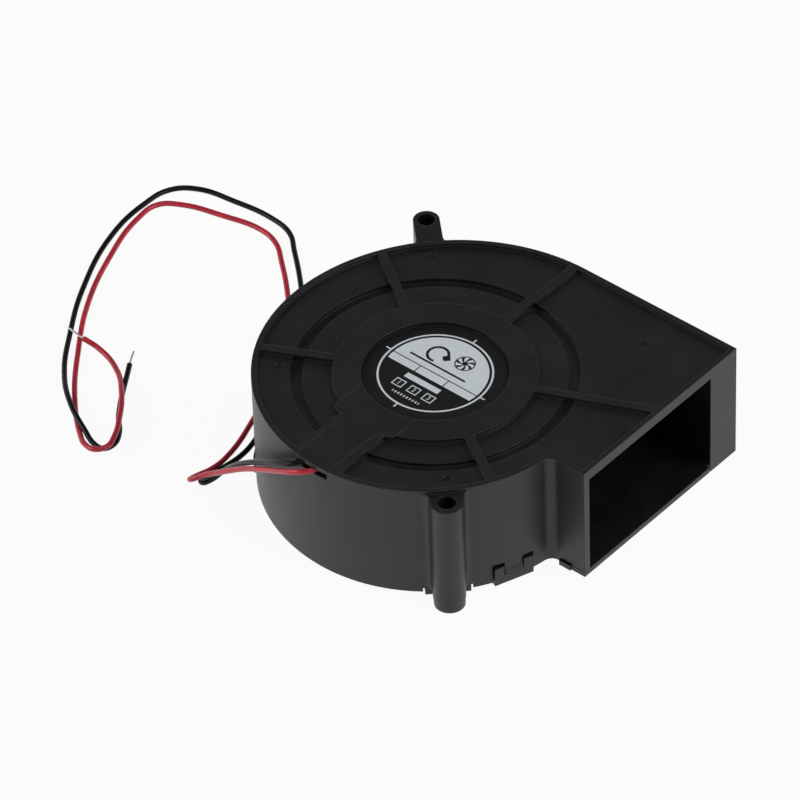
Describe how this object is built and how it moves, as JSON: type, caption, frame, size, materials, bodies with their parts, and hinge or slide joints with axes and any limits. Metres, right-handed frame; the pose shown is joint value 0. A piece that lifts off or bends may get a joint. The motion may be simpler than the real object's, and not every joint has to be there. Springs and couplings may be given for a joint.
{
  "type": "dc blower fan",
  "caption": "Flat centrifugal blower: scroll housing with a square side outlet, clipped inlet cover, forward-curved impeller on a ball-bearing motor, and two free leads.",
  "frame": {"origin": "on the rotor's axis, in the plane of the inlet cover's outer face, which is also the middle of the round inlet", "axes": "+X out of the square outlet, +Y across the outlet to the straight far wall, +Z along the rotor's axis from the inlet to the label"},
  "size_m": [0.1751, 0.1002, 0.033],
  "materials": {
    "casing": "black glass-filled moulded plastic, finely eroded matt surface",
    "label": "printed foil label, silver grey and black",
    "impeller": "black moulded plastic",
    "steel": "drawn and zinc-plated steel",
    "magnet": "plastic-bonded ferrite",
    "bright_steel": "ground and polished steel",
    "brass": "turned brass",
    "laminations": "stacked electrical steel",
    "cap": "black plug",
    "insulator": "cream moulded nylon",
    "copper": "enamelled copper wire",
    "board": "green epoxy glass board",
    "chip": "black moulded package",
    "ceramic_part": "tan ceramic block",
    "red_insulation": "red soft vinyl",
    "black_insulation": "black soft vinyl",
    "tinned_wire": "tinned stranded copper and solder"
  },
  "bodies": {
    "casing": {"housing": "casing", "inlet_cover": "casing", "lead_channel_cover": "casing", "label": "label", "bearing_tube": "brass", "lower_bearing_outer": "bright_steel", "lower_bearing_shields": "steel", "upper_bearing_outer": "bright_steel", "upper_bearing_shields": "steel", "tube_cap": "cap", "stator_core": "laminations", "lower_insulator": "insulator", "upper_insulator": "insulator", "coil_1": "copper", "coil_2": "copper", "coil_3": "copper", "coil_4": "copper", "circuit_board": "board", "hall_sensor": "chip", "driver_chip": "chip", "capacitor": "ceramic_part", "red_lead": "red_insulation", "black_lead": "black_insulation", "red_wire_end": "tinned_wire", "black_wire_end": "tinned_wire", "red_solder_joint": "tinned_wire", "black_solder_joint": "tinned_wire"},
    "rotor": {"impeller": "impeller", "rotor_yoke": "steel", "magnet_ring": "magnet", "shaft": "bright_steel", "shaft_boss": "brass", "retaining_clip": "steel", "preload_spring": "steel", "lower_bearing_inner": "bright_steel", "upper_bearing_inner": "bright_steel"},
    "lower_cage": {"lower_bearing_balls": "bright_steel", "lower_bearing_cage": "brass"},
    "upper_cage": {"upper_bearing_balls": "bright_steel", "upper_bearing_cage": "brass"}
  },
  "joints": [
    {"name": "rotor_spin", "type": "hinge", "parent": "casing", "child": "rotor", "pos_m": [0, 0, 0.0165], "axis": [0, 0, -1], "continuous": true},
    {"name": "lower_cage_roll", "type": "hinge", "parent": "casing", "child": "lower_cage", "pos_m": [0, 0, 0.01255], "axis": [0, 0, -1], "continuous": true},
    {"name": "upper_cage_roll", "type": "hinge", "parent": "casing", "child": "upper_cage", "pos_m": [0, 0, 0.0254], "axis": [0, 0, -1], "continuous": true}
  ],
  "couplings": [
    {"joint": "lower_cage_roll", "follows": "rotor_spin", "ratio": 0.3636},
    {"joint": "upper_cage_roll", "follows": "rotor_spin", "ratio": 0.3636}
  ]
}
